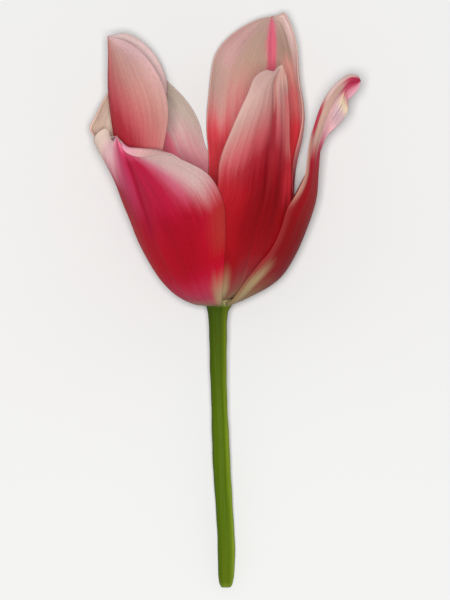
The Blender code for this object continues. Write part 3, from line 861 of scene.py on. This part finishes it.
# The colours of each side of each petal: stops, pulls and dabs, as petal_material takes them.
SKINS = {
    "petal_front_left_outside": (
        [
            (0.0, 178, 152, 118), (0.05, 162, 112, 98), (0.11, 170, 60, 82), (0.17, 173, 40, 66),
            (0.24, 171, 14, 44), (0.31, 168, 8, 30), (0.4, 168, 9, 33), (0.52, 167, 12, 43),
            (0.62, 170, 22, 55), (0.72, 175, 28, 62), (0.84, 183, 25, 63), (0.9, 210, 68, 104),
            (0.95, 244, 130, 160), (1.05, 240, 140, 166),
        ],
        (0.03, 0.03),
        [
            ((182, 20, 36), 0.8, (*LOW, -0.5, -0.05), (0.14, 0.28, 0.5, 0.66)),
            ((148, 10, 28), 0.6, (0.12, 0.36, 0.6, 0.85), (0.18, 0.3, 0.48, 0.6)),
            ((186, 56, 94), 0.8, (-0.5, -0.3, -0.16, -0.03), (0.5, 0.76, *HIGH)),
            ((224, 124, 150), 0.9, (*LOW, -0.4, -0.14), (0.64, 0.84, *HIGH)),
            ((236, 194, 196), 1.0, (*LOW, -0.62, -0.34), (0.66, 0.84, *HIGH)),
            ((236, 214, 196), 0.9, (*LOW, -0.9, -0.66), (0.56, 0.7, *HIGH)),
            ((196, 44, 42), 0.6, (*LOW, -0.66, -0.52), (0.36, 0.44, 0.6, 0.68)),
            ((146, 12, 42), 0.7, (-0.09, -0.03, 0.0, 0.06), (0.4, 0.55, 0.84, 0.92)),
            ((158, 46, 40), 0.8, (0.72, 0.95, *HIGH), (0.26, 0.36, 0.44, 0.54)),
            ((190, 108, 128), 0.85, (0.46, 0.76, *HIGH), (0.5, 0.68, *HIGH)),
            ((187, 157, 153), 1.0, (0.66, 0.9, *HIGH), (0.46, 0.62, *HIGH)),
            ((96, 26, 58), 0.8, (-0.98, -0.9, -0.66, -0.45), (0.935, 0.95, *HIGH)),
            # a painted highlight, whitish pink, along the folded margin of the lip
            ((250, 222, 226), 1.0, (0.97, 0.995, *HIGH), (0.74, 0.8, 0.95, 0.97)),
            ((162, 140, 104), 0.9, (0.7, 0.97, *HIGH), (*LOW, 0.1, 0.25)),
        ],
    ),
    "petal_front_left_inside": (
        [
            (0.0, 206, 190, 120), (0.12, 200, 130, 100), (0.3, 190, 50, 60), (0.6, 205, 90, 105),
            (0.76, 188, 150, 146), (0.84, 208, 160, 160), (0.92, 228, 156, 178), (1.1, 232, 120, 158),
        ],
        (0.0, 0.0),
    ),
    "petal_front_outside": (
        [
            (0.0, 180, 156, 114), (0.05, 172, 140, 106), (0.12, 142, 76, 70), (0.2, 137, 36, 42),
            (0.28, 142, 13, 22), (0.4, 128, 7, 16), (0.52, 124, 6, 16), (0.6, 136, 12, 25),
            (0.68, 152, 33, 44), (0.76, 178, 80, 86), (0.84, 182, 116, 113), (0.92, 187, 145, 137),
            (1.0, 197, 162, 153), (1.15, 190, 157, 151),
        ],
        (0.25, 0.04),
        [
            ((204, 46, 58), 0.85, (0.36, 0.78, *HIGH), (0.36, 0.56, 0.64, 0.72)),
            ((236, 124, 124), 0.8, (0.34, 0.74, *HIGH), (0.62, 0.7, 0.84, 0.93)),
            ((228, 174, 160), 0.7, (0.2, 0.45, *HIGH), (0.88, 0.95, *HIGH)),
            ((238, 198, 184), 0.8, (*LOW, *HIGH), (0.97, 1.0, *HIGH)),
            ((134, 24, 38), 0.8, (-0.03, 0.06, 0.12, 0.22), (0.6, 0.7, 0.8, 0.9)),
            ((158, 98, 92), 0.6, (-0.03, 0.06, 0.12, 0.22), (0.8, 0.88, 0.93, 1.0)),
            ((164, 14, 26), 0.8, (*LOW, -0.6, -0.12), (0.2, 0.3, 0.48, 0.6)),
            ((146, 12, 18), 0.7, (0.3, 0.6, *HIGH), (0.2, 0.3, 0.4, 0.5)),
            ((170, 154, 114), 0.95, (*LOW, -0.56, -0.26), (*LOW, 0.08, 0.23)),
        ],
    ),
    "petal_front_inside": (
        [
            (0.0, 206, 190, 120), (0.12, 200, 130, 100), (0.3, 190, 44, 52), (0.6, 205, 80, 90),
            (0.85, 222, 170, 160),
        ],
        (0.2, 0.2),
    ),
    "petal_right_outside": (
        [
            (0.0, 150, 132, 92), (0.06, 148, 118, 82), (0.12, 136, 74, 58), (0.2, 128, 30, 36),
            (0.28, 130, 11, 20), (0.38, 135, 6, 14), (0.5, 158, 8, 20), (0.61, 176, 14, 42),
            (0.67, 190, 44, 74), (0.71, 228, 130, 150), (0.75, 240, 180, 190), (0.82, 238, 190, 190),
            (0.87, 212, 172, 170), (0.91, 198, 84, 108), (0.95, 186, 50, 82), (1.0, 178, 42, 76),
        ],
        (0.0, 0.0),
        [
            ((170, 146, 108), 0.95, (-1.06, -0.86, -0.78, -0.58), (*LOW, 0.13, 0.27)),
            ((152, 44, 46), 0.8, (*LOW, -0.95, -0.82), (0.12, 0.2, 0.46, 0.56)),
            ((184, 149, 136), 1.0, (*LOW, -0.56, -0.44), (0.6, 0.7, 0.88, 0.94)),
            ((206, 178, 172), 0.9, (*LOW, -0.86, -0.74), (0.78, 0.86, 0.97, 1.0)),
            ((176, 50, 70), 0.95, (*LOW, -0.9, -0.8), (0.66, 0.71, 0.77, 0.83)),
            ((196, 146, 128), 0.9, (*LOW, -0.94, -0.86), (0.42, 0.52, 0.64, 0.69)),
            ((216, 202, 166), 0.8, (0.2, 0.45, *HIGH), (0.85, 0.87, 0.885, 0.905)),
            ((190, 162, 170), 0.8, (0.1, 0.5, *HIGH), (0.78, 0.82, 0.85, 0.87)),
            ((232, 176, 190), 0.85, (0.4, 0.98, *HIGH), (0.89, 0.92, *HIGH)),
        ],
    ),
    "petal_right_inside": (
        [
            (0.0, 206, 190, 120), (0.12, 196, 120, 90), (0.3, 186, 44, 52), (0.6, 196, 84, 92),
            (0.85, 214, 170, 160),
        ],
        (0.2, 0.2),
    ),
    "petal_back_right_outside": (
        [
            (0.0, 150, 128, 92), (0.1, 150, 100, 84), (0.22, 146, 34, 46), (0.5, 150, 18, 32),
            (0.66, 184, 74, 84), (0.8, 204, 140, 134), (1.0, 212, 172, 160),
        ],
        (0.22, 0.22),
    ),
    "petal_back_right_inside": (
        [
            (0.0, 206, 190, 120), (0.12, 206, 120, 90), (0.28, 196, 40, 52), (0.44, 222, 48, 60),
            (0.52, 218, 52, 64), (0.6, 218, 76, 86), (0.66, 214, 102, 108), (0.72, 206, 124, 122),
            # greyish beige towards the tip: painted shade over the petal's pale cream
            (0.78, 192, 140, 130), (0.85, 178, 148, 132), (0.93, 178, 153, 138), (1.05, 196, 164, 157),
        ],
        (0.04, 0.04),
        [
            # the right flank's red, brightened to the full as painted light glowing through the petal where
            # it lies in shade
            ((255, 72, 82), 0.9, (*LOW, -0.3, -0.12), (0.42, 0.5, 0.62, 0.72)),
            ((255, 134, 134), 0.85, (*LOW, -0.3, -0.12), (0.62, 0.72, 0.74, 0.82)),
            ((252, 180, 168), 0.75, (*LOW, -0.34, -0.16), (0.72, 0.79, 0.8, 0.87)),
            ((188, 58, 64), 0.6, (0.4, 0.8, *HIGH), (0.3, 0.4, 0.52, 0.66)),
            ((252, 222, 216), 0.95, (*LOW, -0.8, -0.52), (0.56, 0.68, 0.9, 1.0)),
            ((212, 94, 118), 0.9, (-0.16, -0.05, 0.05, 0.16), (0.56, 0.74, *HIGH)),
            ((216, 104, 128), 0.8, (-0.26, -0.12, 0.12, 0.26), (0.84, 0.93, *HIGH)),
            ((222, 120, 142), 0.8, (-0.5, -0.22, 0.22, 0.5), (0.93, 0.98, *HIGH)),
            # greyish beige on the left margin near the tip: painted shade over pale cream
            ((186, 159, 148), 0.9, (0.4, 0.95, *HIGH), (0.57, 0.71, *HIGH)),
            ((206, 158, 162), 0.5, (0.5, 0.8, *HIGH), (0.76, 0.82, 0.9, 0.96)),
        ],
    ),
    "petal_left_outside": (
        [
            (0.0, 150, 128, 92), (0.1, 150, 100, 84), (0.22, 160, 40, 52), (0.45, 184, 34, 50),
            (0.62, 184, 34, 48), (0.73, 180, 40, 54), (0.82, 174, 50, 62), (0.9, 186, 84, 90),
            (0.98, 188, 106, 105), (1.06, 187, 126, 119), (1.15, 190, 142, 134), (1.24, 195, 153, 148),
            (1.33, 211, 173, 174),
        ],
        (0.5, 0.5),
    ),
    "petal_left_inside": (
        [
            (0.0, 206, 190, 120), (0.12, 196, 110, 86), (0.3, 196, 60, 68), (0.5, 214, 110, 112),
            (0.68, 216, 176, 172), (0.9, 214, 184, 182), (1.1, 222, 200, 196),
        ],
        (0.15, 0.15),
    ),
    "petal_back_left_outside": (
        [
            (0.0, 150, 128, 92), (0.1, 150, 100, 84), (0.22, 146, 34, 46), (0.5, 156, 22, 44),
            (0.66, 190, 84, 98), (0.8, 206, 148, 142), (1.0, 212, 176, 160),
        ],
        (0.22, 0.22),
    ),
    "petal_back_left_inside": (
        [
            (0.0, 206, 190, 120), (0.12, 206, 120, 90), (0.3, 196, 50, 64), (0.5, 192, 72, 94),
            (0.6, 204, 110, 126), (0.68, 201, 132, 139), (0.73, 199, 147, 150), (0.78, 197, 161, 159),
            # greyish beige towards the tip: painted shade over the petal's pale cream
            (0.84, 191, 170, 161), (0.93, 181, 169, 154), (1.0, 188, 177, 161),
        ],
        (0.12, 0.1),
        [
            ((223, 98, 123), 0.8, (-0.34, -0.16, 0.1, 0.3), (0.4, 0.5, 0.7, 0.78)),
            # greyish beige on the right margin: painted shade over pale cream
            ((184, 167, 155), 0.6, (*LOW, -0.9, -0.66), (0.66, 0.76, *HIGH)),
            # the petal's pale cream raised nearly to white: painted light shining through it where it lies
            # in the front petals' shade
            ((250, 232, 210), 1.0, (0.4, 0.6, *HIGH), (0.5, 0.6, *HIGH)),
        ],
    ),
}


def stem_material():
    """The stem's green, paler at its cut end and with a painted highlight down its right side, with the
    creamy receptacle at its top.
    """
    tree = Tree("stem_green")
    streaks = tree.grain(*STREAK_GRAIN)
    specks = tree.grain(*SPECK_GRAIN)
    moved_along = tree.shifted(tree.attribute("along"), streaks, STEM_SHIFT)
    dark = tree.ramp(
        moved_along,
        [
            (0.0, 100, 118, 34), (0.02, 72, 91, 4), (0.3, 67, 89, 3), (0.6, 67, 88, 3),
            (0.9, 53, 70, 3), (0.955, 49, 65, 3), (0.968, 124, 118, 78), (1.0, 132, 122, 86),
        ],
    )
    # The same green made lighter: a painted highlight down the stem's right side.
    pale = tree.ramp(
        moved_along,
        [
            (0.0, 136, 152, 56), (0.04, 116, 138, 34), (0.6, 112, 132, 30), (0.9, 92, 108, 18),
            (0.955, 78, 92, 14), (0.968, 130, 122, 82), (1.0, 132, 122, 86),
        ],
    )
    # Blends the painted highlight in from the stem's middle towards its right.
    colour = tree.mix(tree.step(tree.attribute("aside"), *PAINTED_HIGHLIGHT_SIDE), dark, pale)
    value = tree.total(STEM_PLAIN, (streaks, STREAK_SHADE), (specks, SPECK_SHADE))
    tree.set(Base_Color=tree.brighten(colour, value))
    tree.set(Roughness=STEM_ROUGHNESS, Specular_IOR_Level=STEM_SHINE)
    tree.bump(tree.total(streaks, (specks, SPECK_RELIEF)), SKIN_DEPTH)
    return tree.material


def grainy_material(name, low, high, grain, roughness, depth):
    """A material that goes from one colour to another along the piece, as GRAINY_SKINS lists it."""
    tree = Tree(name)
    grains = tree.grain(*grain)
    shade = tree.shifted(tree.attribute("along"), grains, GRAINY_SHIFT)
    colour = tree.ramp(shade, [(0.05, *low), (0.95, *high)])
    tree.set(Base_Color=tree.brighten(colour, tree.total(GRAINY_PLAIN, (grains, GRAINY_SHADE))))
    tree.set(Roughness=roughness, Specular_IOR_Level=GRAINY_SHINE)
    tree.bump(grains, depth)
    return tree.material


def floor_material():
    """The floor's pale grey, very faintly clouded."""
    tree = Tree("floor")
    spot = tree.node("ShaderNodeTexCoord").outputs["Object"]
    cloud = tree.noise(spot, *FLOOR_CLOUDS)
    value = tree.total(FLOOR_PLAIN, (cloud, FLOOR_SHADE))
    tree.set(Base_Color=tree.brighten(linear(FLOOR_GREY), value))
    tree.set(Roughness=FLOOR_ROUGHNESS, Specular_IOR_Level=FLOOR_SHINE)
    return tree.material


def make_floor():
    """The surface that the flower lies on."""
    mesh = bpy.data.meshes.new("floor")
    corners = [(x * FLOOR_REACH, y * FLOOR_REACH, 0) for x, y in ((-1, -1), (1, -1), (1, 1), (-1, 1))]
    mesh.from_pydata(corners, [], [(0, 1, 2, 3)])
    mesh.materials.append(floor_material())
    floor = bpy.data.objects.new("floor", mesh)
    bpy.context.scene.collection.objects.link(floor)


def make_light():
    """Even light from all sides, and one lamp high above, somewhat to the stem's side."""
    world = bpy.data.worlds.new("studio")
    bpy.context.scene.world = world
    world.use_nodes = True
    background = world.node_tree.nodes["Background"]
    background.inputs["Color"].default_value = (1, 1, 1, 1)
    background.inputs["Strength"].default_value = WORLD_LIGHT
    light = bpy.data.lights.new("key", "AREA")
    light.energy = KEY_POWER
    light.size = KEY_SIZE
    lamp = bpy.data.objects.new("key", light)
    lamp.location = KEY_SPOT
    lamp.rotation_euler = (-Vector(KEY_SPOT)).to_track_quat("-Z", "Y").to_euler()
    bpy.context.scene.collection.objects.link(lamp)


def make_camera():
    """A camera that looks square at the flower, with the bloom up."""
    lean = math.radians(LEAN)
    right = Vector((1, 0, 0))
    up = Vector((0, math.cos(lean), math.sin(lean)))
    towards = Vector((0, -math.sin(lean), math.cos(lean)))
    centre = Vector(turn_down((*VIEW_CENTRE, 0.0)))
    camera = bpy.data.objects.new("camera", bpy.data.cameras.new("camera"))
    bpy.context.scene.collection.objects.link(camera)
    turned = Matrix((right, up, towards)).transposed().to_4x4()
    turned.translation = centre + towards * VIEW_DISTANCE
    camera.matrix_world = turned
    camera.data.sensor_width = SENSOR
    camera.data.lens = SENSOR * VIEW_DISTANCE / FRAME_HEIGHT
    camera.data.clip_end = VIEW_END
    bpy.context.scene.camera = camera
    bpy.context.scene.view_settings.view_transform = "Standard"


def make_flower():
    """All pieces of the flower, each in place of its node."""
    for number, petal in enumerate(PETALS):
        skins = []
        for side, seed in (("outside", 0.0), ("inside", INSIDE_SEED)):
            name = f"{petal.name}_{side}"
            skins.append(petal_material(name, number * PETAL_SEED + seed, *SKINS[name]))
        make_petal(petal, *skins)
    make_stem(stem_material())
    green, cream, pale, pollen = (grainy_material(name, *skin) for name, skin in GRAINY_SKINS.items())
    make_pistil(green, cream)
    for number in range(STAMENS):
        make_stamen(number, pale, pollen)


def main():
    """Builds the flower on its stage."""
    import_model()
    make_flower()
    make_floor()
    make_light()
    make_camera()


main()
